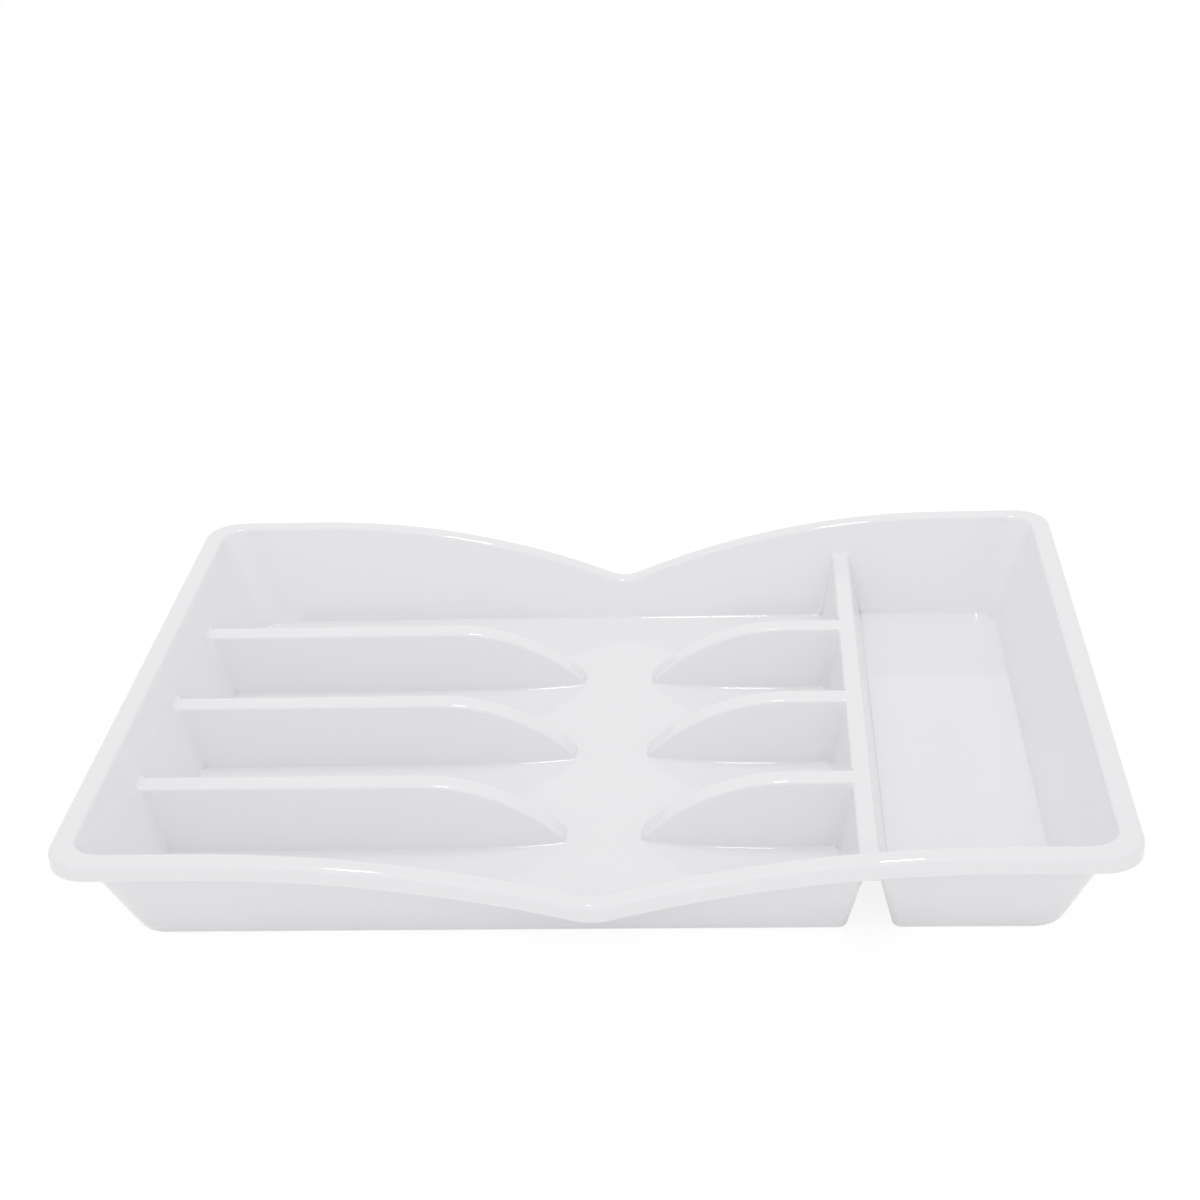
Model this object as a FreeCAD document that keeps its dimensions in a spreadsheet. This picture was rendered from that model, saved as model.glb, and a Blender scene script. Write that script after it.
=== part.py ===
import FreeCAD, Part
import math
import os

import Sketcher

# Cutlery tray moulded from one sheet of plastic. X runs along the tray, Y away from the front, Z up.
# The origin lies under the middle of the floor, on the plane that the tray stands on.
doc = FreeCAD.newDocument("cutlery_tray")
sheet = doc.addObject("Spreadsheet::Sheet", "Sizes")

# Driving dimensions, in millimetres and degrees
driving = {
    "length": "400",         # over the rim, along X
    "width": "310",          # over the rim, along Y
    "height": "44.7",        # from the table to the top of the rim
    "wall": "2",             # the same thickness everywhere
    "rim_band": "8.4",       # top of the rim, from the inside edge to the outside edge
    "rim_skirt": "7",        # depth of the rim's turned-down edge
    "rim_corner": "16",      # outside plan radius of the rim
    "rim_round": "1.2",      # rounding along the rim's outside top edge
    "end_draft": "21.9",     # lean of the left and right walls
    "side_draft": "20.5",    # lean of the front and back walls
    "corner_round": "13",    # inside rounding where two walls meet
    "inner_round": "1.2",    # rounding between the floor and the walls or folds
    "root_round": "3",       # rounding between a fold and the wall or fold that it runs into
    "wave_flat": "36",       # level stretch of the rim between a corner and the dip
    "dip_depth": "25.64",    # bottom of the dip below the top of the rim
    "valley_radius": "20",   # rounding at the bottom of the dip
    "fold_height": "26.6",   # crest above the floor
    "divider_crest": "9.4",  # width of a divider's crest
    "cross_crest": "7.2",    # width of the cross divider's crest
    "fold_draft": "12",      # lean of a fold's legs
    "crest_round": "1.6",    # rounding along both edges of a crest
    "divider_pitch": "67.4", # between the middles of neighbouring dividers
    "finger_gap": "31.2",    # between the noses of facing dividers
    "nose_radius": "81",     # arc of a divider's falling end, seen from the front
    "nose_step": "2",        # blunt end that is left above the floor
    "nose_round": "1.6",     # rounding of that blunt end
    "cross_offset": "102.5", # from the tray's middle to the cross divider's middle
    "mouth_round": "3.5",    # rounding where the hollow of a fold opens below
    "seam": "3.5",           # from the foot of a wall or fold to its seam with the floor
    "overrun": "5",          # how far a cutting form passes what it cuts
}
for row, (alias, number) in enumerate(driving.items(), start=1):
    sheet.set("A%d" % row, alias)
    sheet.set("B%d" % row, number)
    sheet.setAlias("B%d" % row, alias)
doc.recompute()


class Size:
    """A size that carries both its sheet expression and its present value through plain arithmetic."""

    def __init__(self, text, value):
        self.text = text
        self.value = value

    def join(self, sign, other, value, swapped=False):
        first, second = (other, self) if swapped else (self, other)
        return Size("(%s %s %s)" % (first.text, sign, second.text), value)

    def __add__(self, other):
        other = size_of(other)
        return self.join("+", other, self.value + other.value)

    def __sub__(self, other):
        other = size_of(other)
        return self.join("-", other, self.value - other.value)

    def __rsub__(self, other):
        other = size_of(other)
        return self.join("-", other, other.value - self.value, swapped=True)

    def __mul__(self, other):
        other = size_of(other)
        return self.join("*", other, self.value * other.value)

    def __truediv__(self, other):
        other = size_of(other)
        return self.join("/", other, self.value / other.value)

    def __neg__(self):
        return size_of(0) - self


def size_of(thing):
    """A plain number as a Size, and a Size as it is."""
    return thing if isinstance(thing, Size) else Size(repr(thing), thing)


def tangent(angle):
    return Size("tan(%s)" % angle.text, math.tan(math.radians(angle.value)))


def cosine(angle):
    return Size("cos(%s)" % angle.text, math.cos(math.radians(angle.value)))


def sine(angle):
    return Size("sin(%s)" % angle.text, math.sin(math.radians(angle.value)))


def root(square):
    return Size("sqrt(%s)" % square.text, math.sqrt(square.value))


def named(alias):
    """The driving dimension of that name."""
    return Size("Sizes." + alias, float(sheet.get(alias)))


length = named("length")
width = named("width")
height = named("height")
wall = named("wall")
rim_corner = named("rim_corner")
rim_band = named("rim_band")
end_draft = named("end_draft")
side_draft = named("side_draft")
corner_round = named("corner_round")
inner_round = named("inner_round")
fold_draft = named("fold_draft")
seam = named("seam")
overrun = named("overrun")
cross_x = named("cross_offset")
crest = wall + named("fold_height")
ground = size_of(0)


# Sketches and features

def bind(item, path, size):
    """Ties one property of an object to the sheet."""
    item.setExpression(path, size_of(size).text)


def sketch_on(body, name, role, lift=0):
    """A sketch on one of the body's own origin planes, moved along the plane's normal by lift."""
    plane = next(item for item in body.Origin.OriginFeatures if item.Role == role)
    sketch = body.newObject("Sketcher::SketchObject", name)
    sketch.AttachmentSupport = [(plane, "")]
    sketch.MapMode = "FlatFace"
    bind(sketch, "AttachmentOffset.Base.z", lift)
    return sketch


def arc_between(begin, end, radius, turn):
    """The short arc of that radius from begin to end, turning left (1) or right (-1)."""
    chord = end - begin
    left = FreeCAD.Vector(-chord.y, chord.x, 0).normalize()
    rise = math.sqrt(radius * radius - chord.Length * chord.Length / 4)
    centre = (begin + end) * 0.5 + left * (rise * turn)
    low, high = (begin, end) if turn > 0 else (end, begin)
    angles = [math.atan2(place.y - centre.y, place.x - centre.x) for place in (low, high)]
    return Part.ArcOfCircle(Part.Circle(centre, FreeCAD.Vector(0, 0, 1), radius), *angles)


def outline(sketch, corners, arcs=None, closed=True):
    """Draws a chain of runs through the corners, straight unless arcs gives {run: (radius, turn)}."""
    arcs = arcs or {}
    corners = [(size_of(x), size_of(y)) for x, y in corners]
    places = [FreeCAD.Vector(x.value, y.value, 0) for x, y in corners]
    runs = len(places) if closed else len(places) - 1
    first_rule = sketch.ConstraintCount
    rules = []
    bound = []
    ends = []
    for run in range(runs):
        begin = places[run]
        end = places[(run + 1) % len(places)]
        radius, turn = arcs.get(run, (None, 1))
        if radius is None:
            geometry = Part.LineSegment(begin, end)
        else:
            geometry = arc_between(begin, end, radius.value, turn)
        index = sketch.addGeometry(geometry)
        ends.append((index, 1, 2) if turn > 0 else (index, 2, 1))
        if radius is not None:
            bound.append((len(rules), radius))
            rules.append(Sketcher.Constraint("Radius", index, radius.value))
    for point, (x, y) in enumerate(corners):
        index, first, last = ends[point] if point < runs else ends[-1]
        spot = first if point < runs else last
        for kind, size in (("DistanceX", x), ("DistanceY", y)):
            bound.append((len(rules), size))
            rules.append(Sketcher.Constraint(kind, -1, 1, index, spot, size.value))
    for run in range(runs if closed else runs - 1):
        index, last = ends[run][0], ends[run][2]
        after, after_first = ends[(run + 1) % runs][:2]
        rules.append(Sketcher.Constraint("Coincident", index, last, after, after_first))
    sketch.addConstraint(rules)
    for place, size in bound:
        bind(sketch, "Constraints[%d]" % (first_rule + place), size)


def new_body(name):
    return doc.addObject("PartDesign::Body", name)


def pad(body, sketch, name, reach, both_ways=False):
    feature = body.newObject("PartDesign::Pad", name)
    feature.Profile = sketch
    feature.Midplane = both_ways
    bind(feature, "Length", reach)
    return feature


def pocket_through(body, sketch, name, reach):
    """Cuts the sketch's outline away on both sides of the sketch, over reach in all."""
    feature = body.newObject("PartDesign::Pocket", name)
    feature.Profile = sketch
    feature.Midplane = True
    bind(feature, "Length", reach + overrun * 2)
    return feature


def round_edges(body, base, name, edges, radius):
    """Rounds those edges of the body's last feature, given by their numbers."""
    feature = body.newObject("PartDesign::Fillet", name)
    feature.Base = (base, ["Edge%d" % edge for edge in edges])
    bind(feature, "Radius", radius)
    doc.recompute()
    return feature


def cut(name, base, tool):
    feature = doc.addObject("Part::Cut", name)
    feature.Base = base
    feature.Tool = tool
    return feature


def common(name, base, tool):
    feature = doc.addObject("Part::Common", name)
    feature.Base = base
    feature.Tool = tool
    return feature


def fuse(name, shapes):
    feature = doc.addObject("Part::MultiFuse", name)
    feature.Shapes = shapes
    return feature


# Forms with four leaning walls and rounded corners

def inside_half_x(level):
    """From the middle to the inside face of the left or right wall, at a level."""
    return length / 2 - rim_band - (height - level) * tangent(end_draft)


def inside_half_y(level):
    """From the middle to the inside face of the front or back wall, at a level."""
    return width / 2 - rim_band - (height - level) * tangent(side_draft)


def edges_where(shape, keep):
    """Numbers of the edges that keep accepts."""
    return [number for number, edge in enumerate(shape.Edges, start=1) if keep(edge)]


def tub_form(name, grow, low, high):
    """The inside of the tray between two levels, with its walls moved outwards by grow."""
    body = new_body(name)
    end_grow = grow / cosine(end_draft)
    side_grow = grow / cosine(side_draft)
    block = sketch_on(body, name + "_ends", "XZ_Plane")
    half_low = inside_half_x(low) + end_grow
    half_high = inside_half_x(high) + end_grow
    outline(block, [(-half_low, low), (half_low, low), (half_high, high), (-half_high, high)])
    pad(body, block, name + "_block", width, both_ways=True)
    trim = sketch_on(body, name + "_sides", "YZ_Plane")
    under = low - overrun
    over = high + overrun
    far = width / 2 + overrun
    waste = [
        (inside_half_y(under) + side_grow, under), (far, under),
        (far, over), (inside_half_y(over) + side_grow, over),
    ]
    outline(trim, waste)
    outline(trim, [(-y, z) for y, z in waste])
    sides = pocket_through(body, trim, name + "_trim", length)
    doc.recompute()
    upright = edges_where(sides.Shape, lambda edge: edge.BoundBox.ZLength > (high.value - low.value) / 2)
    corners = round_edges(body, sides, name + "_corners", upright, corner_round + grow)
    return body, corners


# Folds: the dividers and the cross divider are the sheet folded up into a ridge, hollow below

def fold_section(sketch, middle, top, half, drop, edge_round=None, mouth=None):
    """A ridge across its run: a flat crest, two leaning legs, and either rounded edges or flared mouths."""
    lean = tangent(fold_draft)
    foot = half + drop * lean
    if edge_round is not None:
        bend = edge_round * tangent((90 - fold_draft) / 2)
        side = [(half - bend, top), (half + bend * sine(fold_draft), top - bend * cosine(fold_draft))]
        side.append((foot, top - drop))
        arcs = {0: (edge_round, -1), 4: (edge_round, -1)}
    else:
        bend = mouth * tangent((90 - fold_draft) / 2)
        side = [(half, top), (foot - bend * sine(fold_draft), top - drop + bend * cosine(fold_draft))]
        side.append((foot + bend, top - drop))
        side.append((foot + bend, top - drop - overrun))
        arcs = {1: (mouth, 1), 5: (mouth, 1)}
    right = [(middle + across, up) for across, up in side]
    left = [(middle - across, up) for across, up in reversed(side)]
    outline(sketch, right + left, arcs)


divider_half = named("divider_crest") / 2
cross_half = named("cross_crest") / 2
fold_wall = wall / cosine(fold_draft) - wall * tangent(fold_draft)
nose_radius = named("nose_radius")
nose_drop = named("fold_height") - named("nose_step")
nose_x = named("finger_gap") / 2
nose_run = root(nose_radius * nose_drop * 2 - nose_drop * nose_drop)


def divider_form(name, middle, side, start, sink):
    """A divider's ridge, sunk by sink below its outer skin. side is 1 on the right and -1 on the left."""
    body = new_body(name)
    top = crest - sink
    arc_radius = nose_radius - sink
    tip = nose_x + sink
    reach = nose_x + nose_run - tip
    tip_level = crest - nose_radius + root(arc_radius * arc_radius - reach * reach)
    section = sketch_on(body, name + "_section", "YZ_Plane", start * side)
    if sink.value > 0:
        fold_section(section, middle, top, divider_half - fold_wall, top, mouth=named("mouth_round"))
    else:
        fold_section(section, middle, top, divider_half, top, edge_round=named("crest_round"))
    path = sketch_on(body, name + "_path", "XZ_Plane", -middle)
    outline(path, [(start * side, top), ((nose_x + nose_run) * side, top), (tip * side, tip_level)],
            {1: (arc_radius, side)}, closed=False)
    ridge = body.newObject("PartDesign::AdditivePipe", name + "_ridge")
    ridge.Profile = section
    ridge.Spine = path
    ridge.Mode = "Fixed"
    doc.recompute()
    return body, ridge


touch = 1e-4
pitch = named("divider_pitch")
rows = {"back": pitch, "middle": ground, "front": -pitch}
starts = {"left": (length / 2, -1), "right": (cross_x, 1)}
solid_ridges = []
hollow_ridges = []
for hand, (start, side) in starts.items():
    for row, middle in rows.items():
        name = "%s_%s" % (hand, row)
        body, ridge = divider_form(name + "_ridge", middle, side, start, ground)
        box = ridge.Shape.BoundBox
        tip_x = box.XMin if side > 0 else box.XMax
        nose = edges_where(ridge.Shape, lambda edge: edge.BoundBox.XLength < touch
                           and abs(edge.CenterOfMass.x - tip_x) < touch
                           and edge.CenterOfMass.z > box.ZMin + touch)
        round_edges(body, ridge, name + "_nose", nose, named("nose_round"))
        solid_ridges.append(body)
        hollow_ridges.append(divider_form(name + "_hollow", middle, side, start, wall)[0])

cross_ridge = new_body("cross_ridge")
section = sketch_on(cross_ridge, "cross_section", "XZ_Plane")
fold_section(section, cross_x, crest, cross_half, crest, edge_round=named("crest_round"))
pad(cross_ridge, section, "cross_run", width, both_ways=True)
solid_ridges.append(cross_ridge)

cross_hollow = new_body("cross_hollow")
section = sketch_on(cross_hollow, "cross_hollow_section", "XZ_Plane")
fold_section(section, cross_x, crest - wall, cross_half - fold_wall, crest - wall,
             mouth=named("mouth_round"))
pad(cross_hollow, section, "cross_hollow_run", width, both_ways=True)
hollow_ridges.append(cross_hollow)
doc.recompute()

# The air inside the tray: the tub less its ridges, with every inside corner rounded

def opening_angle(shape, edge):
    """Degrees between the two faces that meet at the middle of an edge, 0 where they run on smoothly."""
    place = edge.valueAt((edge.FirstParameter + edge.LastParameter) / 2)
    normals = []
    for face in shape.ancestorsOfType(edge, Part.Face):
        normals.append(face.normalAt(*face.Surface.parameter(place)))
    return math.degrees(normals[0].getAngle(normals[-1]))


smooth_angle = 15


def creases(shape, low, high):
    """Numbers of the creased edges whose upper ends lie between two levels."""
    return edges_where(shape, lambda edge: low < edge.BoundBox.ZMax < high
                       and opening_angle(shape, edge) > smooth_angle)


cavity = tub_form("cavity", ground, wall, height)[0]
ridges_out = cavity.newObject("PartDesign::Boolean", "cavity_less_ridges")
ridges_out.Type = "Cut"
ridges_out.setObjects(solid_ridges)
doc.recompute()
middle_level = crest.value / 2
roots = creases(ridges_out.Shape, middle_level, height.value - touch)
rooted = round_edges(cavity, ridges_out, "root_rounding", roots, named("root_round"))
feet = creases(rooted.Shape, touch, middle_level)
round_edges(cavity, rooted, "foot_rounding", feet, inner_round)


# The rim's wave: flat at both ends, with an arc down to a rounded valley at mid-length

wave_reach = length / 2 - rim_corner - named("wave_flat")
dip_depth = named("dip_depth")
valley_radius = named("valley_radius")
wave_span = (wave_reach * wave_reach + dip_depth * dip_depth) / (dip_depth * 2)
wave_radius = wave_span - valley_radius
valley_x = wave_reach * valley_radius / wave_span
valley_drop = dip_depth * wave_radius / wave_span


def wave_outline(sketch, level, limit):
    """Everything between the wave, at level on its flat stretches, and a straight edge at limit."""
    far = length / 2 + overrun
    low = level - valley_drop
    corners = [
        (-far, level), (-wave_reach, level), (-valley_x, low), (valley_x, low),
        (wave_reach, level), (far, level), (far, limit), (-far, limit),
    ]
    outline(sketch, corners, {1: (wave_radius, -1), 2: (valley_radius, 1), 3: (wave_radius, -1)})


def cut_above_wave(body, name, level):
    sketch = sketch_on(body, name + "_outline", "XZ_Plane")
    wave_outline(sketch, level, height + overrun)
    return pocket_through(body, sketch, name, width)


# The shell below the rim: the outside of the tub less the air inside and the hollows under the folds

tub, tub_walls = tub_form("tub", wall, ground, height)
base_loop = edges_where(tub_walls.Shape, lambda edge: edge.BoundBox.ZMax < touch)
round_edges(tub, tub_walls, "tub_rounding", base_loop, inner_round + wall)
cut_above_wave(tub, "rim_seat", height - wall)
hollows = fuse("hollows", hollow_ridges)
shell = cut("shell", cut("tub_less_air", tub, cavity), hollows)

# The rim: a flat band on top of the walls with a turned-down skirt. Where the wave dips, the band
# follows the leaning wall inwards, so its long sides bow in plan by the dip times the wall's lean.

bow = valley_drop * tangent(side_draft)
bow_run = wave_reach - valley_x
bow_radius = (bow_run * bow_run + bow * bow) / (bow * 2)
bow_valley = bow_radius * valley_radius / wave_radius


def rim_plan(sketch, inset):
    """The rim seen from above, with every edge moved in by inset."""
    half_x = length / 2 - inset
    half_y = width / 2 - inset
    corner = rim_corner - inset
    side = [
        (-half_x + corner, -half_y), (-wave_reach, -half_y),
        (-valley_x, -half_y + bow), (valley_x, -half_y + bow),
        (wave_reach, -half_y), (half_x - corner, -half_y),
        (half_x, -half_y + corner), (half_x, half_y - corner),
    ]
    corners = side + [(-x, -y) for x, y in side]
    arcs = {}
    for first in (0, len(side)):
        arcs[first + 1] = (bow_radius, 1)
        arcs[first + 2] = (bow_valley, -1)
        arcs[first + 3] = (bow_radius, 1)
        arcs[first + 5] = (corner, 1)
        arcs[first + 7] = (corner, 1)
    outline(sketch, corners, arcs)


def rim_block(name, inset, level):
    body = new_body(name)
    plan = sketch_on(body, name + "_plan", "XY_Plane")
    rim_plan(plan, inset)
    pad(body, plan, name + "_block", height)
    top = cut_above_wave(body, name + "_wave", level)
    doc.recompute()
    return body, top


rim_solid, rim_top = rim_block("rim_solid", ground, height)
rim_edge = edges_where(rim_top.Shape, lambda edge: edge.BoundBox.ZMin > touch
                       and opening_angle(rim_top.Shape, edge) > smooth_angle)
round_edges(rim_solid, rim_top, "rim_rounding", rim_edge, named("rim_round"))
below_skirt = sketch_on(rim_solid, "below_skirt_outline", "XZ_Plane")
wave_outline(below_skirt, height - named("rim_skirt"), -overrun)
pocket_through(rim_solid, below_skirt, "below_skirt", width)
rim_hollow = rim_block("rim_hollow", wall, height - wall)[0]
rim = cut("rim", cut("rim_less_hollow", rim_solid, rim_hollow), cavity)

# Zones that part the moulding into its named pieces, which meet face to face along their seams


def box_zone(name, low, high):
    zone = doc.addObject("Part::Box", name)
    for side, axis, first, last in zip(("Length", "Width", "Height"), "xyz", low, high):
        bind(zone, side, size_of(last) - first)
        bind(zone, "Placement.Base." + axis, first)
    return zone


def lean_zone(name, middle, low, high, half_low, half_high, reach):
    """A block along Y whose two sides lean."""
    body = new_body(name)
    sketch = sketch_on(body, name + "_outline", "XZ_Plane")
    corners = [(middle - half_low, low), (middle + half_low, low), (middle + half_high, high),
               (middle - half_high, high)]
    outline(sketch, corners)
    pad(body, sketch, name + "_run", reach, both_ways=True)
    return body


far_x = length / 2 + overrun
far_y = width / 2 + overrun
above = height + overrun
below = -overrun
lean = tangent(fold_draft)
front_half = box_zone("front_half", (-far_x, -far_y, below), (far_x, 0, above))
back_half = box_zone("back_half", (-far_x, 0, below), (far_x, far_y, above))
left_half = box_zone("left_half", (-far_x, -far_y, below), (0, far_y, above))
right_half = box_zone("right_half", (0, -far_y, below), (far_x, far_y, above))
main_half = box_zone("main_half", (-far_x, -far_y, below), (cross_x, far_y, above))
side_half = box_zone("side_half", (cross_x, -far_y, below), (far_x, far_y, above))
straight_x = length / 2 - rim_corner
straight_zone = box_zone("straight_zone", (-straight_x, -far_y, below), (straight_x, far_y, above))
corner_reach = corner_round + wall
side_zone = lean_zone("side_zone", ground, below, above, inside_half_x(below) - corner_reach,
                      inside_half_x(above) - corner_reach, far_y * 2)
cross_zone = lean_zone("cross_zone", cross_x, below, crest + wall,
                       cross_half + seam + (crest + overrun) * lean, cross_half + seam - wall * lean, width)
inside_zone = tub_form("inside_zone", -seam, below, height)[0]


def divider_zone(name, middle, side, start):
    """A divider's footprint, a seam's width outside the foot of its legs and round its nose."""
    body = new_body(name)
    plan = sketch_on(body, name + "_plan", "XY_Plane", below)
    foot = divider_half + named("fold_height") * lean + seam
    tip = divider_half + named("nose_step") * lean + seam
    bend_x = nose_x + nose_run
    tip_x = nose_x - seam + tip
    taper = foot - tip
    taper_run = bend_x - tip_x
    taper_radius = (taper_run * taper_run + taper * taper) / (taper * 2)
    upper = [(start, foot), (bend_x, foot), (tip_x, tip)]
    lower = [(x, -y) for x, y in reversed(upper)]
    corners = [(x * side, middle + y) for x, y in upper + [(nose_x - seam, ground)] + lower]
    arcs = {1: (taper_radius, side), 2: (tip, side), 3: (tip, side), 4: (taper_radius, side)}
    outline(plan, corners, arcs)
    pad(body, plan, name + "_block", crest + wall + overrun)
    return body


# The named pieces

pieces = {}
rim_sides = common("rim_sides", rim, straight_zone)
rim_ends = cut("rim_ends", rim, straight_zone)
pieces["rim_front"] = common("rim_front", rim_sides, front_half)
pieces["rim_back"] = common("rim_back", rim_sides, back_half)
pieces["rim_left"] = common("rim_left", rim_ends, left_half)
pieces["rim_right"] = common("rim_right", rim_ends, right_half)

walls = cut("walls", shell, inside_zone)
side_walls = common("side_walls", walls, side_zone)
end_walls = cut("end_walls", walls, side_zone)
pieces["front_wall"] = common("front_wall", side_walls, front_half)
pieces["back_wall"] = common("back_wall", side_walls, back_half)
pieces["left_wall"] = common("left_wall", end_walls, left_half)
pieces["right_wall"] = common("right_wall", end_walls, right_half)

inner = common("inner", shell, inside_zone)
floors = cut("floors", inner, cross_zone)
pieces["cross_divider"] = common("cross_divider", inner, cross_zone)
pieces["side_floor"] = common("side_floor", floors, side_half)
main_part = common("main_part", floors, main_half)
footprints = []
for hand, (start, side) in starts.items():
    for row, middle in rows.items():
        name = "%s_divider_%s" % (hand, row)
        zone = divider_zone(name + "_zone", middle, side, start)
        footprints.append(zone)
        pieces[name] = common(name, main_part, zone)
pieces["main_floor"] = cut("main_floor", main_part, fuse("footprints", footprints))
doc.recompute()

# Every object has to be sound before anything is written

for item in doc.Objects:
    if "Invalid" in item.State or "Error" in item.State:
        raise RuntimeError("%s failed: %s" % (item.Name, item.State))
os.makedirs("parts", exist_ok=True)
for name, piece in pieces.items():
    if piece.Shape.isNull() or not piece.Shape.isValid() or len(piece.Shape.Solids) != 1:
        raise RuntimeError("%s is not one sound solid" % name)
    piece.Label = name
    piece.Shape.exportStep("parts/%s.step" % name)
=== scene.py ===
from itertools import chain

import bpy
import numpy as np
from mathutils import Euler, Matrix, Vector


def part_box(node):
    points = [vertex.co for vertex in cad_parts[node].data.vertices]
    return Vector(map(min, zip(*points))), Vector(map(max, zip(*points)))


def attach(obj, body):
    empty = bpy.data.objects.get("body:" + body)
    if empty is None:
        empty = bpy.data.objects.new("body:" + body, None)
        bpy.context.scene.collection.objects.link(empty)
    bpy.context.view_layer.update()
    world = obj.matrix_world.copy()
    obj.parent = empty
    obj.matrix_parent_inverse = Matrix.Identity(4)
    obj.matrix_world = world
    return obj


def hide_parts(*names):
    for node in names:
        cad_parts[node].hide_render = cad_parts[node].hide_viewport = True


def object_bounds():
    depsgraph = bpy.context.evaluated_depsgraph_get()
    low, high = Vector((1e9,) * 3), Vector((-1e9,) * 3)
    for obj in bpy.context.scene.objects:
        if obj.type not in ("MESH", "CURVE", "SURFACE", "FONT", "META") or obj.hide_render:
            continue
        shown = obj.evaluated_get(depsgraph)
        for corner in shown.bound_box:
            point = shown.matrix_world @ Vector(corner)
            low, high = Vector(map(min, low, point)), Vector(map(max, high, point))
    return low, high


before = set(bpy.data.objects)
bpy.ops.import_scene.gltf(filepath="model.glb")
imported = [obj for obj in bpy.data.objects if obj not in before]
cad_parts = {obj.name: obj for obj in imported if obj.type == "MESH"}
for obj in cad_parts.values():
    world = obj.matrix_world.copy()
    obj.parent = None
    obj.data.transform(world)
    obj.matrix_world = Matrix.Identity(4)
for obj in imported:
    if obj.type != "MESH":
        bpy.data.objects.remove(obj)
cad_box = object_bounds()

# Floors
# The flat bottom of the tray, a sheet of glossy white polystyrene that was injected in one shot with all
# that stands on it. The gate in the middle left a small pip. Sizes are in millimetres, angles in radians.

mm_per_metre = 1000.0
tray_length, tray_width, tray_height = mm_per_metre * (np.array(cad_box[1]) - np.array(cad_box[0]))
sheet = 2.0
seam = 3.5
rim_band = 8.4
end_lean = np.radians(21.9)
side_lean = np.radians(20.5)
corner_round = 13.0
corner_steps = 16
corner_turns = np.linspace(0, 1, corner_steps + 1)
gate_radius = 1.7
gate_height = 0.3


def middle_of(node, axis):
    """Middle of a node along an axis."""
    low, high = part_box(node)
    return mm_per_metre * (low[axis] + high[axis]) / 2


def wall_x(level, grow=0.0):
    """Half length between the end walls at a level, moved out by grow. The walls lean, so it grows with the
    level."""
    lean_in = (tray_height - level) * np.tan(end_lean)
    return tray_length / 2 - rim_band - lean_in + grow / np.cos(end_lean)


def wall_y(level, grow=0.0):
    """Half width between the front and back walls at a level, moved out by grow."""
    lean_in = (tray_height - level) * np.tan(side_lean)
    return tray_width / 2 - rim_band - lean_in + grow / np.cos(side_lean)


def wall_corner(turn, level, grow):
    """Plan of a rounded corner, from turn 0 at the end wall to 1 at the side wall. A ball rolls down both
    walls: its centre keeps a radius from each, and the wall lies a radius from it, in a direction that turns
    evenly."""
    radius = corner_round + grow
    opening = np.arccos(np.sin(end_lean) * np.sin(side_lean))
    to_end = np.sin((1 - turn) * opening) / np.sin(opening)
    to_side = np.sin(turn * opening) / np.sin(opening)
    centre = level + radius * (to_end * np.sin(end_lean) + to_side * np.sin(side_lean))
    x = wall_x(centre, grow) - radius / np.cos(end_lean) + radius * to_end * np.cos(end_lean)
    y = wall_y(centre, grow) - radius / np.cos(side_lean) + radius * to_side * np.cos(side_lean)
    return x, y


def spread(*stops):
    """Places from the first stop to the last. Between two stops stands the number of equal steps that part
    them."""
    starts = range(0, len(stops) - 2, 2)
    runs = [np.linspace(stops[i], stops[i + 2], stops[i + 1], endpoint=False) for i in starts]
    return np.concatenate(runs + [stops[-1:]])


def linear(hex_colour):
    """An sRGB hex colour as linear red, green, blue and alpha."""
    parts = np.array([int(hex_colour[i:i + 2], 16) for i in (1, 3, 5)]) / 255
    parts = np.where(parts <= 0.04045, parts / 12.92, ((parts + 0.055) / 1.055) ** 2.4)
    return (*parts, 1.0)


def add_node(tree, kind, settings=(), links=()):
    """Adds a node. A setting is an attribute or, by its name or number, an input; links name the outputs that
    feed it."""
    node = tree.nodes.new(kind)
    for key, value in dict(settings).items():
        if isinstance(key, str) and hasattr(node, key):
            setattr(node, key, value)
        else:
            node.inputs[key].default_value = value
    for key, output in dict(links).items():
        tree.links.new(output, node.inputs[key])
    return node


def make_white_polystyrene():
    """Injection-moulded polystyrene with a polished mould face: an even bluish white with faint flow marks in
    its tint, and a clear gloss that is hazed a little in small clouds."""
    material = bpy.data.materials.new("white_polystyrene")
    material.use_nodes = True
    tree = material.node_tree
    tree.nodes.clear()
    flow_mm, haze_mm = 60.0, 9.0
    polished, hazed = 0.03, 0.05
    place = add_node(tree, "ShaderNodeTexCoord").outputs["Object"]
    flow = add_node(tree, "ShaderNodeTexNoise", {"Scale": mm_per_metre / flow_mm, "Detail": 3.0},
                    {"Vector": place})
    tint = add_node(tree, "ShaderNodeMix", {"data_type": "RGBA", 6: linear("#f3f3f5"), 7: linear("#f5f5f7")},
                    {"Factor": flow.outputs["Fac"]})
    haze = add_node(tree, "ShaderNodeTexNoise", {"Scale": mm_per_metre / haze_mm, "Detail": 2.0},
                    {"Vector": place})
    gloss = add_node(tree, "ShaderNodeMapRange", {"To Min": polished, "To Max": hazed},
                     {"Value": haze.outputs["Fac"]})
    plastic = add_node(tree, "ShaderNodeBsdfPrincipled", {"IOR": 1.59}, {
        "Base Color": tint.outputs[2], "Roughness": gloss.outputs["Result"]})
    add_node(tree, "ShaderNodeOutputMaterial", links={"Surface": plastic.outputs["BSDF"]})
    return material


white_polystyrene = make_white_polystyrene()
sharp_angle = np.radians(32)


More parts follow.
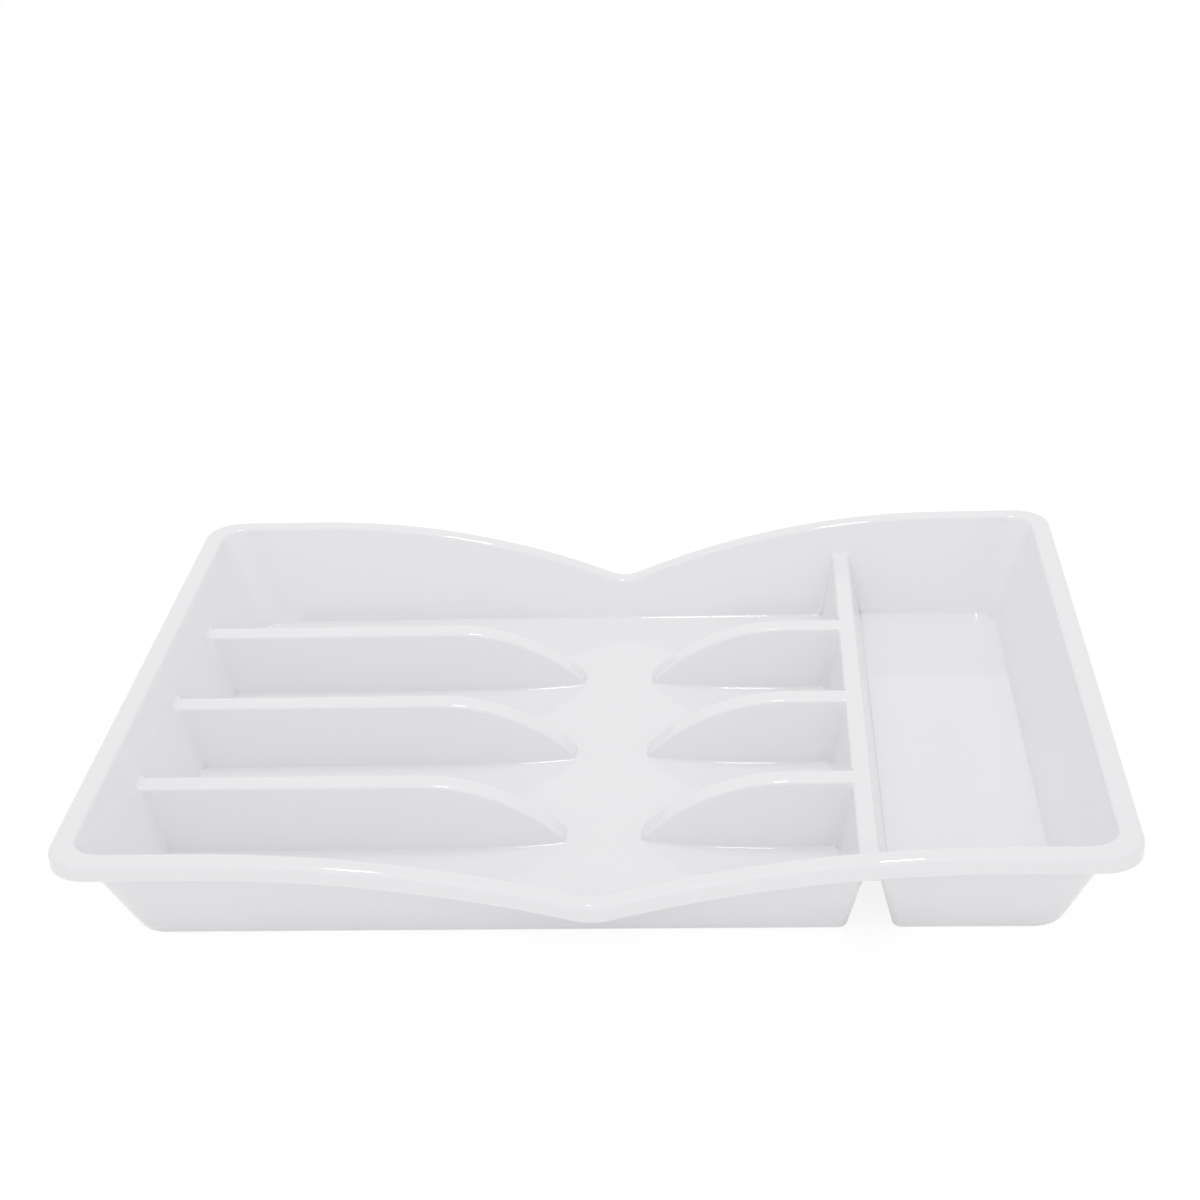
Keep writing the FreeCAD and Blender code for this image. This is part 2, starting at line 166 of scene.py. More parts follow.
def add_piece(node, points, faces, normals=None):
    """Makes a smooth piece that stands for a CAD node, with its faces outwards and, where given, exact
    normals. faces holds groups of loops, the quads first. The quads face inwards where the sum of
    first . (second x third) over their triangles, six times the volume, is negative."""
    first, second, third, fourth = (points[faces[0][:, corner]] for corner in range(4))
    volume = np.sum(first * np.cross(second, third)) + np.sum(first * np.cross(third, fourth))
    order = -1 if volume < 0 else 1
    loops = list(chain.from_iterable(group[:, ::order].tolist() for group in faces))
    mesh = bpy.data.meshes.new(node + "_moulding")
    mesh.from_pydata(points / mm_per_metre, [], loops)
    mesh.shade_smooth()
    mesh.set_sharp_from_angle(angle=sharp_angle)
    if normals is not None:
        mesh.normals_split_custom_set_from_vertices(normals)
    mesh.materials.append(white_polystyrene)
    piece = bpy.data.objects.new(node + "_moulding", mesh)
    bpy.context.scene.collection.objects.link(piece)
    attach(piece, "root")
    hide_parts(node)


def add_sheet(node, upper, lower, kept=None):
    """Closes an upper and a lower skin into one solid. A skin is a grid of (x, y, z) with the normal at each
    point. kept marks the cells that belong to the piece; every bare edge of a kept cell gets a side from skin
    to skin."""
    rows, columns = upper.shape[:2]
    count = rows * columns
    number = np.arange(count).reshape(rows, columns)
    kept = np.ones((rows - 1, columns - 1), bool) if kept is None else kept
    corners = [number[:-1, :-1], number[1:, :-1], number[1:, 1:], number[:-1, 1:]]
    top = np.stack([corner[kept] for corner in corners], axis=-1)
    around = np.pad(kept, 1)
    neighbours = [around[1:-1, :-2], around[2:, 1:-1], around[1:-1, 2:], around[:-2, 1:-1]]
    quads = [top, top[:, ::-1] + count]
    for first, second, neighbour in zip(corners, corners[1:] + corners[:1], neighbours):
        bare = kept & ~neighbour
        start, end = first[bare], second[bare]
        quads.append(np.stack([end, start, start + count, end + count], axis=-1))
    used, quads = np.unique(np.concatenate(quads), return_inverse=True)
    points = np.concatenate([upper.reshape(-1, 6), lower.reshape(-1, 6)])[used]
    add_piece(node, points[:, :3], [quads.reshape(-1, 4)], points[:, 3:])


def floor_plan(x_lines, y_lines, side, level):
    """Plan grid of a floor: x_lines run from the cross divider towards the end wall on one side, where the
    last line follows the seam at the wall's foot round both corners."""
    corner_x, corner_y = wall_corner(corner_turns, level, -seam)
    y = np.concatenate([-corner_y[::-1], y_lines, corner_y])
    end_x = np.concatenate([corner_x[::-1], np.full(len(y_lines), corner_x[0]), corner_x])
    x = np.repeat(x_lines[:, None], len(y), axis=1)
    return np.concatenate([x, side * end_x[None]]), np.repeat(y[None], len(x_lines) + 1, axis=0)


def flat_skin(x, y, z, facing):
    """A level skin over a plan grid, with normals straight up (facing 1) or down (facing -1)."""
    none = np.zeros_like(x)
    return np.stack([x, y, z + none, none, none, facing + none], axis=-1)


row_names = ("front", "middle", "back")
row_y = np.array([middle_of("left_divider_" + row, 1) for row in row_names])
cross_x = middle_of("cross_divider", 0)
fold_lean = np.radians(12.0)
divider_half = 4.7
cross_half = 3.6
crest_top = mm_per_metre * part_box("left_divider_back")[1].z
divider_seam = divider_half + (crest_top - sheet) * np.tan(fold_lean) + seam
tip_x = 15.6
trough_x = tip_x - seam
gate_field = 3.0
corner_margin = 24.0


def cross_seam(level):
    """From the cross divider's middle to its seam, which leans with its legs."""
    return cross_half + seam + (crest_top - level) * np.tan(fold_lean)


row_seams = np.array([-divider_seam, divider_seam])
gate_y = spread(-divider_seam, 4, -gate_field, 16, gate_field, 4, divider_seam)
main_y = np.concatenate([row_y[0] + row_seams, gate_y, row_y[2] + row_seams])
skins = []
for level, facing in ((sheet, 1.0), (0.0, -1.0)):
    main_x = spread(cross_x - cross_seam(level), 6, trough_x, 4, gate_field, 16, -gate_field, 4, -trough_x,
                    10, corner_margin - wall_x(level))
    x, y = floor_plan(main_x, main_y, -1, level)
    pip = gate_height * np.clip(1 - (x ** 2 + y ** 2) / gate_radius ** 2, 0, None) * (level > 0)
    skins.append(flat_skin(x, y, level + pip, facing))
cell_x, cell_y = (skins[0][:-1, :-1, axis] / 2 + skins[0][1:, 1:, axis] / 2 for axis in (0, 1))
nearest_row = row_y[np.abs(cell_y[..., None] - row_y).argmin(axis=-1)]
outside_rows = np.abs(cell_y - nearest_row) > divider_seam
add_sheet("main_floor", *skins, kept=(np.abs(cell_x) < trough_x) | outside_rows)

skins = []
for level, facing in ((sheet, 1.0), (0.0, -1.0)):
    side_x = spread(cross_x + cross_seam(level), 6, wall_x(level) - corner_margin)
    side_y = spread(corner_margin - wall_y(level), 8, wall_y(level) - corner_margin)
    x, y = floor_plan(side_x, side_y, 1, level)
    skins.append(flat_skin(x, y, level, facing))
add_sheet("side_floor", *skins)

# Lengthwise dividers
# Six hollow folds of the same sheet, three from the left wall and three from the cross divider. Each crest
# falls in an arc to a blunt nose beside the trough, where fingers reach under the cutlery. The upper skin of
# a fold has sink 0, and the skin of its hollow, a sheet below, has sink sheet.

crest_round = 1.6
hollow_round = 0.6
foot_round = 1.2
root_round = 3.0
mouth_round = 3.5
nose_radius = 81.0
nose_step = 2.0
nose_drop = crest_top - sheet - nose_step
bend_x = tip_x + np.sqrt(2 * nose_radius * nose_drop - nose_drop ** 2)
pitch = row_y[2] - row_y[1]
fold_wall = sheet / np.cos(fold_lean) - sheet * np.tan(fold_lean)
divider_edge = {0.0: (divider_half, crest_round), sheet: (divider_half - fold_wall, hollow_round)}
fold_foot = {0.0: foot_round, sheet: mouth_round}
bend_turn = np.pi / 2 - fold_lean


def field(distance, *normal):
    """A space as an array (d, nx, ny, nz): how far a point lies inside its skin, and the direction in which d
    grows."""
    return np.stack(np.broadcast_arrays(distance, *normal))


def rounded_meet(first, second, radius):
    """What two spaces share, with a ball rolled along the corner between their skins. The ball's centre lies
    a n1 + b n2 from the point, with a + c b = radius - d1, c a + b = radius - d2 and c = n1.n2; where a and b
    are both positive the skin is a radius from that centre, and elsewhere the nearer skin holds."""
    most_cosine = 0.999
    least_length = 1e-9
    cosine = np.clip((first[1:] * second[1:]).sum(axis=0), -most_cosine, most_cosine)
    short_1, short_2 = radius - first[0], radius - second[0]
    along_1 = (short_1 - cosine * short_2) / (1 - cosine ** 2)
    along_2 = (short_2 - cosine * short_1) / (1 - cosine ** 2)
    reach = along_1 * first[1:] + along_2 * second[1:]
    length = np.maximum(np.sqrt((reach ** 2).sum(axis=0)), least_length)
    ball = np.concatenate([(radius - length)[None], reach / length])
    return np.where((along_1 > 0) & (along_2 > 0), ball, np.where(first[0] < second[0], first, second))


def skin_height(space, x, y):
    """Height at which the upright line through (x, y) enters a space that opens upwards, found by halving."""
    halvings = 34
    below_all, above_all = -1.0, tray_height + rim_band
    low, high = np.full(x.shape, below_all), np.full(x.shape, above_all)
    for _ in range(halvings):
        middle = (low + high) / 2
        is_open = space(x, y, middle)[0] > 0
        low, high = np.where(is_open, low, middle), np.where(is_open, middle, high)
    return high


def crest_line(x, sink):
    """Height of a divider's crest, and its slope along x: level, then an arc down to the nose."""
    run = np.clip(bend_x - np.abs(x), 0, None)
    rise = np.sqrt((nose_radius - sink) ** 2 - run ** 2)
    return crest_top - nose_radius + rise, np.sign(x) * run / rise


def fold_sides(across, z, crest, slope, half):
    """Space between the leaning legs of a fold: half width plus the depth below the crest times the lean."""
    tilt = np.sqrt(1 + (slope * np.sin(fold_lean)) ** 2)
    depth = (half + (crest - z) * np.tan(fold_lean) - np.abs(across)) * np.cos(fold_lean)
    outward = np.where(across < 0, 1.0, -1.0) * np.cos(fold_lean)
    return field(depth / tilt, slope * np.sin(fold_lean) / tilt, outward / tilt, -np.sin(fold_lean) / tilt)


def fold_top(z, crest, slope):
    """Space below the crest of a fold."""
    tilt = np.sqrt(1 + slope ** 2)
    return field((crest - z) / tilt, slope / tilt, 0.0, -1 / tilt)


def divider_inside(x, y, z, sink):
    """Space inside the dividers or inside their hollows: legs, leaning nose and crest."""
    half, edge_round = divider_edge[sink]
    crest, slope = crest_line(x, sink)
    sides = fold_sides(y - pitch * np.clip(np.round(y / pitch), -1, 1), z, crest, slope, half)
    tip_level = crest_line(tip_x + sink, sink)[0]
    nose_depth = np.abs(x) - tip_x - sink - (z - tip_level) * np.tan(fold_lean)
    nose = field(nose_depth * np.cos(fold_lean), np.sign(x) * np.cos(fold_lean), 0.0, -np.sin(fold_lean))
    return rounded_meet(rounded_meet(sides, nose, edge_round), fold_top(z, crest, slope), edge_round)


def divider_air(x, y, z):
    """Air over the floor and the dividers, with the inside corners rounded."""
    return rounded_meet(field(z - sheet, 0.0, 0.0, 1.0), -divider_inside(x, y, z, 0.0), foot_round)


def divider_sheet(x, y, z):
    """Plastic over the underside and the hollows, with their mouths rounded."""
    return rounded_meet(field(z, 0.0, 0.0, 1.0), -divider_inside(x, y, z, sheet), mouth_round)


def skin_over(space, x, y, sink):
    """Skin of a space over plan points, with normals that face out of the plastic: into the space over an
    upper skin, which is air, and out of the space over a lower skin, which is plastic."""
    facing = 1.0 if sink == 0 else -1.0
    z = skin_height(space, x, y)
    return np.stack([x, y, z, *(facing * space(x, y, z)[1:])], axis=-1)


def shares(count):
    """Equal shares of a run, from one part in count up to the whole."""
    return np.linspace(0, 1, count + 1)[1:]


def fold_lines(edge, foot, bend_round, border):
    """Lines across a fold, from seam to seam, closer where the sheet bends: over the crest's edges in even
    turns, down the legs in even steps, and round the foot in even turns."""
    edge_steps, leg_steps, foot_steps = 7, 14, 9
    least_leg = 0.2
    half, edge_round = edge
    flat = half - edge_round * np.tan(bend_turn / 2)
    edge_turns = np.linspace(0, bend_turn, edge_steps + 1)
    crown = np.concatenate([[0, flat / 2], flat + edge_round * np.sin(edge_turns)])
    foot = np.asarray(foot)[..., None]
    foot_reach = bend_round * np.tan(bend_turn / 2)
    leg_end = np.maximum(foot - foot_reach * np.sin(fold_lean), crown[-1] + least_leg)
    legs = crown[-1] + shares(leg_steps) * (leg_end - crown[-1])
    foot_turns = np.linspace(bend_turn, 0, foot_steps + 1)[1:]
    turned = 1 - np.sin(foot_turns) / np.sin(bend_turn)
    feet = leg_end + turned * (foot + foot_reach - leg_end)
    crowns = np.broadcast_to(crown, foot.shape[:-1] + crown.shape)
    half_lines = np.concatenate([crowns, legs, feet, np.full(foot.shape, border)], axis=-1)
    return np.concatenate([-half_lines[..., :0:-1], half_lines], axis=-1)


def flat_foot(edge):
    """From a fold's middle to the foot of its leg, under a level crest."""
    return edge[0] + (crest_top - sheet) * np.tan(fold_lean)


divider_space = {0.0: divider_air, sheet: divider_sheet}
row_lines = {}
row_levels = {}
for sink, space in divider_space.items():
    edge = divider_edge[sink]
    row_lines[sink] = fold_lines(edge, flat_foot(edge), fold_foot[sink], divider_seam)
    row_levels[sink] = skin_height(space, np.full_like(row_lines[sink], bend_x + seam), row_lines[sink])
tip_end, arc_start, arc_end = tip_x + np.array([1.0, 4.0, 12.0])
nose_lines = spread(trough_x, 4, tip_x - foot_round, 8, tip_x, 8, tip_end, 8, arc_start, 12, arc_end, 34,
                    bend_x)
run_shares = shares(8)


def divider_skin(sink, side, end_x):
    """Grid over one skin of a divider: lines across it, carried from the nose to the place where it ends."""
    edge = divider_edge[sink]
    fold_height = crest_line(nose_lines, sink)[0] - (sheet - sink)
    nose_across = fold_lines(edge, edge[0] + fold_height * np.tan(fold_lean), fold_foot[sink], divider_seam)
    across = np.concatenate([nose_across, np.repeat(row_lines[sink][None], len(run_shares), axis=0)])
    nose_x = np.repeat(nose_lines[:, None], across.shape[1], axis=1)
    x = side * np.concatenate([nose_x, bend_x + run_shares[:, None] * (end_x - bend_x)])
    return skin_over(divider_space[sink], x, across, sink)


for hand, side in (("left", -1), ("right", 1)):
    skins = []
    for sink, levels in row_levels.items():
        end_x = wall_x(levels, -seam) if side < 0 else cross_x - cross_seam(levels)
        skins.append(divider_skin(sink, side, end_x))
    for row, place in zip(row_names, row_y):
        shift = np.array([0, place, 0, 0, 0, 0])
        add_sheet("%s_divider_%s" % (hand, row), skins[0] + shift, skins[1] + shift)

# Cross divider
# A seventh fold with a narrower crest, from the front wall to the back wall. The right dividers run into its
# leg with their crests level, and its hollow opens through both walls as a notch. Its legs are thinner.

notch_widening = 1.0
cross_edge = {0.0: (cross_half, crest_round), sheet: (cross_half - fold_wall + notch_widening, hollow_round)}


def cross_inside(x, z, sink):
    """Space inside the cross divider or its hollow, as the dividers' but along y."""
    half, edge_round = cross_edge[sink]
    crest = crest_top - sink
    inside = rounded_meet(fold_sides(x - cross_x, z, crest, 0.0, half), fold_top(z, crest, 0.0), edge_round)
    return inside[[0, 2, 1, 3]]


def rows_inside(x, y, z, sink):
    """Space inside the dividers, which end at the middle of the cross divider."""
    inside = divider_inside(x, y, z, sink)
    inside[0] = np.where(x > cross_x, -tray_width, inside[0])
    return inside


def root_of(space):
    """Radius of the rounding against a fold: narrow over a level floor, wide against whatever stands
    upright."""
    return foot_round + (root_round - foot_round) * (1 - space[3] ** 2)


def cross_air(x, y, z):
    """Air over the floor and all the folds."""
    over_rows = rounded_meet(field(z - sheet, 0.0, 0.0, 1.0), -rows_inside(x, y, z, 0.0), foot_round)
    return rounded_meet(over_rows, -cross_inside(x, z, 0.0), root_of(over_rows))


def cross_sheet(x, y, z):
    """Plastic over the underside and all the hollows."""
    over_rows = rounded_meet(field(z, 0.0, 0.0, 1.0), -rows_inside(x, y, z, sheet), mouth_round)
    return rounded_meet(over_rows, -cross_inside(x, z, sheet), mouth_round)


cross_space = {0.0: cross_air, sheet: cross_sheet}
cross_lines = {}
cross_levels = {}
for sink, space in cross_space.items():
    edge = cross_edge[sink]
    cross_lines[sink] = fold_lines(edge, flat_foot(edge), fold_foot[sink], cross_seam(sheet - sink))
    between_rows = np.full_like(cross_lines[sink], pitch / 2)
    cross_levels[sink] = skin_height(space, cross_x + cross_lines[sink], between_rows)


def cross_skin(sink):
    """Grid over one skin of the cross divider. Its left seam climbs over each right divider, and its ends
    follow the leaning walls."""
    base = sheet - sink
    lines = cross_lines[sink]
    mid_y = np.concatenate([place + row_lines[sink] for place in row_y])
    end_y = wall_y(cross_levels[sink], -seam)
    ends = mid_y[-1] + shares(7)[:, None] * (end_y - mid_y[-1])
    y = np.concatenate([-ends[::-1], np.repeat(mid_y[:, None], len(lines), axis=1), ends])
    plain = np.full(len(ends), base)
    seam_levels = np.concatenate([plain, np.tile(row_levels[sink], len(row_names)), plain])
    border = cross_seam(seam_levels)[:, None]
    crown = cross_edge[sink][0]
    squeezed = -crown + (lines + crown) * (border - crown) / (cross_seam(base) - crown)
    x = cross_x + np.where(lines < -crown, squeezed, lines)
    return skin_over(cross_space[sink], x, y, sink)


add_sheet("cross_divider", cross_skin(0.0), cross_skin(sheet))

# End walls
# The left and right walls lean outwards and carry the rounded corners. The left dividers run into the left
# wall with small fillets, and their hollows open through it as notches.

corner_reach = corner_round + sheet
rim_seat = tray_height - sheet


def walls_inside(x, y, z, grow):
    """Space between the four leaning walls, moved out by grow, with a ball rolled down each corner."""
    end_depth = (wall_x(z, grow) - np.abs(x)) * np.cos(end_lean)
    side_depth = (wall_y(z, grow) - np.abs(y)) * np.cos(side_lean)
    end = field(end_depth, np.where(x < 0, 1.0, -1.0) * np.cos(end_lean), 0.0, np.sin(end_lean))
    side = field(side_depth, 0.0, np.where(y < 0, 1.0, -1.0) * np.cos(side_lean), np.sin(side_lean))
    return rounded_meet(end, side, corner_round + grow)


def tray_air(x, y, z):
    """Air inside the tray: between the walls, over the floor and over all the folds."""
    tub = rounded_meet(walls_inside(x, y, z, 0.0), field(z - sheet, 0.0, 0.0, 1.0), foot_round)
    over_rows = rounded_meet(tub, -rows_inside(x, y, z, 0.0), root_of(tub))
    return rounded_meet(over_rows, -cross_inside(x, z, 0.0), root_of(over_rows))


def tray_sheet(x, y, z):
    """Plastic inside the outer faces of the walls and over the underside, without the hollows."""
    tub = rounded_meet(walls_inside(x, y, z, sheet), field(z, 0.0, 0.0, 1.0), foot_round + sheet)
    over_rows = rounded_meet(tub, -rows_inside(x, y, z, sheet), mouth_round)
    return rounded_meet(over_rows, -cross_inside(x, z, sheet), mouth_round)


wall_space = {0.0: tray_air, sheet: tray_sheet}
wall_bend = {0.0: (1.6, 4.7), sheet: (3.3, 7.0)}


def wall_skin(sink, foot, top):
    """Grid over one skin of a wall: plan lines from its seam to its top, close together over the bend at its
    foot, which wall_bend gives as distances from the seam."""
    bend_from, bend_to = wall_bend[sink]
    run = top - foot
    length = np.sqrt((run ** 2).sum(axis=-1))[:, None]
    bend = np.concatenate([[0], np.linspace(bend_from, bend_to, 24)])
    rest = bend_to + shares(8) * (length - bend_to)
    distance = np.concatenate([np.repeat(bend[None], len(foot), axis=0), rest], axis=-1)
    plan = foot[:, None] + (run / length)[:, None] * distance[..., None]
    return skin_over(wall_space[sink], plan[..., 0], plan[..., 1], sink)


def end_plan(side, level, grow, mid_y, mid_level):
    """Plan of an end wall from its seam on the front wall, round the corner, past the dividers, to the
    back."""
    corner_x, corner_y = wall_corner(corner_turns, level, grow)
    stub_x = np.linspace(corner_x[-1], wall_x(level) - corner_reach, 4)[1:]
    run_y = np.linspace(mid_y[-1], corner_y[0], 8)[1:-1]
    half_x = np.concatenate([np.full(len(run_y), corner_x[0]), corner_x, stub_x])
    half_y = np.concatenate([run_y, corner_y, np.full(len(stub_x), corner_y[-1])])
    x = np.concatenate([half_x[::-1], wall_x(mid_level, grow), half_x])
    y = np.concatenate([-half_y[::-1], mid_y, half_y])
    return np.stack([side * x, y], axis=-1)


for node, side in (("left_wall", -1), ("right_wall", 1)):
    skins = []
    for sink in wall_space:
        base = sheet - sink
        mid_y = np.concatenate([place + row_lines[sink] for place in row_y])
        levels = np.tile(row_levels[sink], len(row_names)) if side < 0 else np.full(len(mid_y), base)
        foot = end_plan(side, base, -seam, mid_y, levels)
        top = end_plan(side, rim_seat, sink, mid_y, np.full(len(mid_y), rim_seat))
        skins.append(wall_skin(sink, foot, top))
    add_sheet(node, *skins)

# Front and back walls
# The long walls lean too, and their top edge follows the wave of the rim: level at both ends, with a dip
# in the middle that a hand reaches through.

wave_flat = 36.0
rim_corner = 16.0
dip_depth = 25.64
valley_radius = 20.0
valley_margin = 3.0
cross_clearance = 1.0
wave_reach = tray_length / 2 - rim_corner - wave_flat
wave_span = (wave_reach ** 2 + dip_depth ** 2) / (2 * dip_depth)
wave_radius = wave_span - valley_radius
valley_x = wave_reach * valley_radius / wave_span
valley_end = valley_x + valley_margin


def rim_level(x):
    """Top of the rim along x: level, then an arc down on each side, and a small arc across the bottom of the
    dip."""
    run = np.clip(wave_reach - np.abs(x), 0, None)
    arc = tray_height - wave_radius + np.sqrt(np.clip(wave_radius ** 2 - run ** 2, 0, None))
    valley = tray_height - dip_depth + valley_radius - np.sqrt(np.clip(valley_radius ** 2 - x ** 2, 0, None))
    return np.where(np.abs(x) < valley_x, valley, arc)


clear_x = cross_x - cross_seam(0.0) - cross_clearance
wave_lines = spread(-wave_reach, 40, -valley_end, 8, -valley_x, 12, valley_x, 8, valley_end, 22, clear_x)


def side_plan(level, lines):
    """Places along a long wall at a level: the wave's lines, the lines across the cross divider, and both
    ends, which lean with the end walls."""
    border = wall_x(level) - corner_reach
    left = np.linspace(-border, wave_lines[0], 6)[:-1]
    right = np.linspace(cross_x + lines[-1], border, 14)[1:]
    return np.concatenate([left, wave_lines, cross_x + lines, right])


skins = []
for sink, lines in cross_lines.items():
    base = sheet - sink
    foot_x = side_plan(base, lines)
    top_x = side_plan(rim_seat, lines)
    levels = np.full(len(foot_x), base)
    levels[np.isin(foot_x, cross_x + lines)] = cross_levels[sink]
    foot = np.stack([foot_x, wall_y(levels, -seam)], axis=-1)
    top = np.stack([top_x, wall_y(rim_level(top_x) - sheet, sink)], axis=-1)
    skins.append(wall_skin(sink, foot, top))
add_sheet("back_wall", *skins)
add_sheet("front_wall", *(skin * np.array([1, -1, 1, 1, -1, 1]) for skin in skins))

# Rim
# The sheet turns outwards at the top of the walls into a flat band and down again into a skirt, which
# stiffens the edge and keeps fingers off it. The band stays level across while it follows the wave.

rim_edge = 1.6
rim_round = 2.2
rim_skirt = 7.0
skirt_edge = 0.6
nook_round = 1.0
band_shares = np.array([0.01, 0.5, 0.99])


def rim_section(width, lean):
    """Hooked section of the rim as (out, up) from its inside top edge: up the leaning face, over a small arc,
    along the band, over the outer arc, down the skirt, round its edge and back under the band."""
    width, lean = width[:, None], lean[:, None]
    arc_points = 8
    quarter = np.linspace(0, np.pi / 2, arc_points)
    turn = lean + np.linspace(0, 1, arc_points) * (np.pi / 2 - lean)
    edge_out = rim_edge * np.tan((np.pi / 2 - lean) / 2) - rim_edge * np.cos(turn)
    outer = width - rim_round
    inside = width - sheet
    out = [
        -sheet * np.tan(lean),
        edge_out,
        rim_edge + band_shares * (outer - rim_edge),
        outer + rim_round * np.sin(quarter),
        width - skirt_edge + skirt_edge * np.cos(quarter),
        inside + skirt_edge - skirt_edge * np.sin(quarter),
        inside - nook_round + nook_round * np.cos(quarter),
    ]
    up = [
        np.full_like(lean, -sheet),
        rim_edge * (np.sin(turn) - 1),
        np.zeros_like(band_shares),
        rim_round * (np.cos(quarter) - 1),
        -rim_skirt + skirt_edge - skirt_edge * np.sin(quarter),
        -rim_skirt + skirt_edge - skirt_edge * np.cos(quarter),
        -sheet - nook_round + nook_round * np.sin(quarter),
    ]
    count = len(width)
    return (np.concatenate([np.broadcast_to(part, (count, np.shape(part)[-1])) for part in parts], axis=-1)
            for parts in (out, up))


def add_rim(node, inner, below, outer, level):
    """Carries the rim's section along its inside edge. below is that edge a sheet lower, outer the skirt's
    face."""
    across = outer - inner
    width = np.sqrt((across ** 2).sum(axis=-1))
    across = across / width[:, None]
    lean = np.arctan(((inner - below) * across).sum(axis=-1) / sheet)
    out, up = rim_section(width, lean)
    plan = inner[:, None] + across[:, None] * out[..., None]
    points = np.concatenate([plan, (level[:, None] + up)[..., None]], axis=-1)
    number = np.arange(points.shape[0] * points.shape[1]).reshape(points.shape[:2])
    after = np.roll(number, -1, axis=1)
    quads = np.stack([number[:-1], number[1:], after[1:], after[:-1]], axis=-1).reshape(-1, 4)
    add_piece(node, points.reshape(-1, 3), [quads, number[:1], number[-1:, ::-1]])


end_x = wall_corner(1.0, tray_height, 0.0)[0]
straight_x, straight_y = tray_length / 2 - rim_corner, tray_width / 2 - rim_corner
half_lines = spread(0.0, 10, valley_x, 8, valley_end, 60, wave_reach, 8, end_x)
inner_x = np.concatenate([-half_lines[:0:-1], half_lines])
past_wave = np.abs(inner_x) - wave_reach
stretched = wave_reach + past_wave * (straight_x - wave_reach) / (end_x - wave_reach)
outer_x = np.where(past_wave > 0, np.sign(inner_x) * stretched, inner_x)
level = rim_level(inner_x)
inner = np.stack([inner_x, wall_y(level)], axis=-1)
below = np.stack([inner_x, wall_y(level - sheet)], axis=-1)
outer = np.stack([outer_x, wall_y(level) + rim_band], axis=-1)
flip = np.array([1, -1])
add_rim("rim_back", inner, below, outer, level)
add_rim("rim_front", inner * flip, below * flip, outer * flip, level)

end_steps = 23


def end_path(corner_x, corner_y):
    """Plan of an end of the rim, from the front corner along the end to the back corner."""
    run_y = np.linspace(-corner_y[0], corner_y[0], end_steps + 1)[1:-1]
    x = np.concatenate([corner_x[::-1], np.full(len(run_y), corner_x[0]), corner_x])
    y = np.concatenate([-corner_y[::-1], run_y, corner_y])
    return np.stack([x, y], axis=-1)


corner_angle = corner_turns * np.pi / 2
inner = end_path(*wall_corner(corner_turns, tray_height, 0.0))
below = end_path(*wall_corner(corner_turns, tray_height - sheet, 0.0))
outer = end_path(straight_x + rim_corner * np.cos(corner_angle),
                 straight_y + rim_corner * np.sin(corner_angle))
level = np.full(len(outer), tray_height)
for node, side in (("rim_right", 1), ("rim_left", -1)):
    flip = np.array([side, 1])
    add_rim(node, inner * flip, below * flip, outer * flip, level)

# Studio
# A plain white table under soft light from all round, with weak soft boxes in front and at the sides and a
# narrow strip overhead that draws the bright lines along the rounded edges. The camera stands in front.

floor_half = 8.0
table_glow = 1.1
glow_share = 0.78
sky_on_tray, sky_seen = 0.65, 1.0


def seen_by(tree, *kinds):
    """A value that is 1 for the named kinds of ray and 0 for all others."""
    rays = add_node(tree, "ShaderNodeLightPath")
    seen = rays.outputs[kinds[0]]
    for kind in kinds[1:]:
        either = add_node(tree, "ShaderNodeMath", {"operation": "MAXIMUM"}, {0: seen, 1: rays.outputs[kind]})
        seen = either.outputs[0]
    return seen


table = bpy.data.meshes.new("table_top")
table.from_pydata([(-floor_half, -floor_half, 0), (floor_half, -floor_half, 0), (floor_half, floor_half, 0),
                   (-floor_half, floor_half, 0)], [], [(0, 1, 2, 3)])
floor = bpy.data.objects.new("table_top", table)
bpy.context.scene.collection.objects.link(floor)

table_paint = bpy.data.materials.new("white_table_paint")
table_paint.use_nodes = True
tree = table_paint.node_tree
tree.nodes.clear()
paint = add_node(tree, "ShaderNodeBsdfDiffuse", {"Color": linear("#fafafa")})
glow = add_node(tree, "ShaderNodeEmission", {"Strength": table_glow})
seen = seen_by(tree, "Is Camera Ray", "Is Glossy Ray", "Is Transmission Ray")
share = add_node(tree, "ShaderNodeMath", {"operation": "MULTIPLY", 1: glow_share}, {0: seen})
both = add_node(tree, "ShaderNodeMixShader",
                links={"Fac": share.outputs[0], 1: paint.outputs[0], 2: glow.outputs[0]})
add_node(tree, "ShaderNodeOutputMaterial", links={"Surface": both.outputs[0]})
table.materials.append(table_paint)

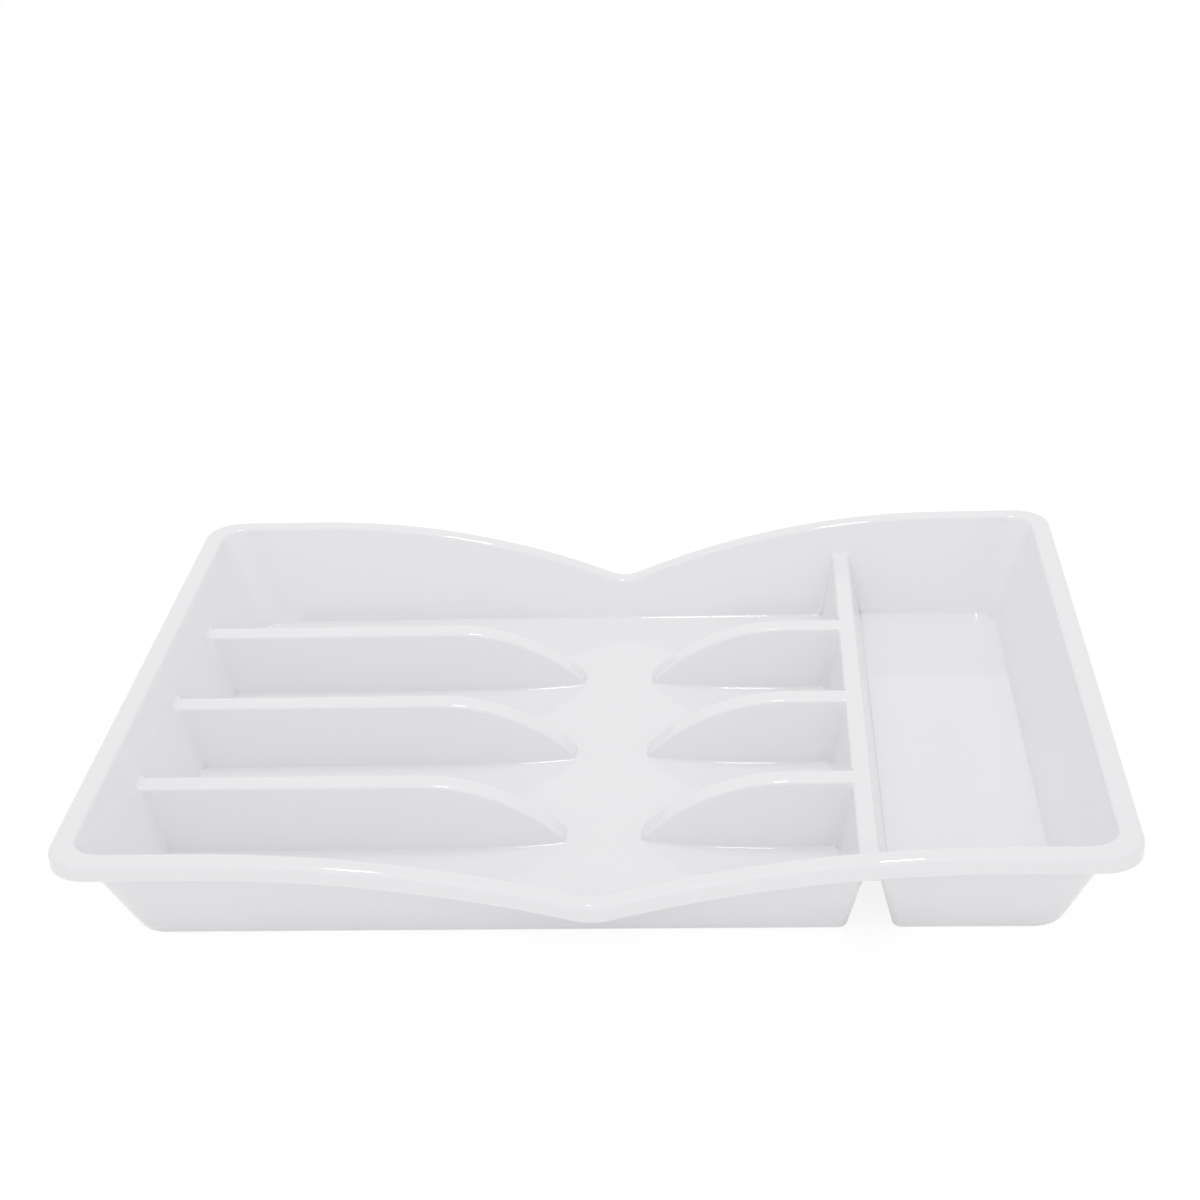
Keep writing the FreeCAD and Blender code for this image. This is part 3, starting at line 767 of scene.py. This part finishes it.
sky = bpy.data.worlds.new("studio_light")
sky.use_nodes = True
tree = sky.node_tree
tree.nodes.clear()
seen = seen_by(tree, "Is Camera Ray", "Is Glossy Ray", "Is Transmission Ray")
strength = add_node(tree, "ShaderNodeMapRange", {"To Min": sky_on_tray, "To Max": sky_seen}, {"Value": seen})
light = add_node(tree, "ShaderNodeBackground", {"Color": (1, 1, 1, 1)}, {"Strength": strength.outputs[0]})
add_node(tree, "ShaderNodeOutputWorld", links={"Surface": light.outputs[0]})
bpy.context.scene.world = sky


def add_softbox(name, place, size, brightness, mirrored=False):
    """A rectangular area lamp that points at the middle of the tray, with its place and size in metres. Its
    power is pi times its area times its brightness. The gloss of the plastic shows it only if it is
    mirrored."""
    lamp = bpy.data.lights.new(name, "AREA")
    lamp.shape = "RECTANGLE"
    lamp.size, lamp.size_y = size
    lamp.energy = np.pi * size[0] * size[1] * brightness
    holder = bpy.data.objects.new(name, lamp)
    holder.location = place
    holder.rotation_euler = (-Vector(place)).to_track_quat("-Z", "Y").to_euler()
    holder.visible_camera = False
    holder.visible_glossy = mirrored
    bpy.context.scene.collection.objects.link(holder)


add_softbox("overhead_strip", (0.01, 0.22, 1.25), (0.12, 0.55), 12.5, mirrored=True)
add_softbox("front_softbox", (0.05, -1.4, 0.85), (1.4, 0.7), 0.88)
add_softbox("low_front_softbox", (0.0, -1.4, 0.22), (2.2, 0.4), 0.3)
add_softbox("left_softbox", (-1.5, -0.2, 0.7), (1.4, 0.7), 0.35)
add_softbox("right_softbox", (1.5, -0.2, 0.7), (1.4, 0.7), 0.35)

camera = bpy.data.cameras.new("camera")
camera.lens = 68.595
camera.shift_x = -0.01331
camera.shift_y = 0.00482
viewer = bpy.data.objects.new("camera", camera)
viewer.location = (0.06083, -0.84987, 0.48121)
viewer.rotation_euler = Euler(np.radians([64.2896, 2.2697, 2.7118]))
bpy.context.scene.collection.objects.link(viewer)
bpy.context.scene.camera = viewer
bpy.context.scene.view_settings.view_transform = "Standard"
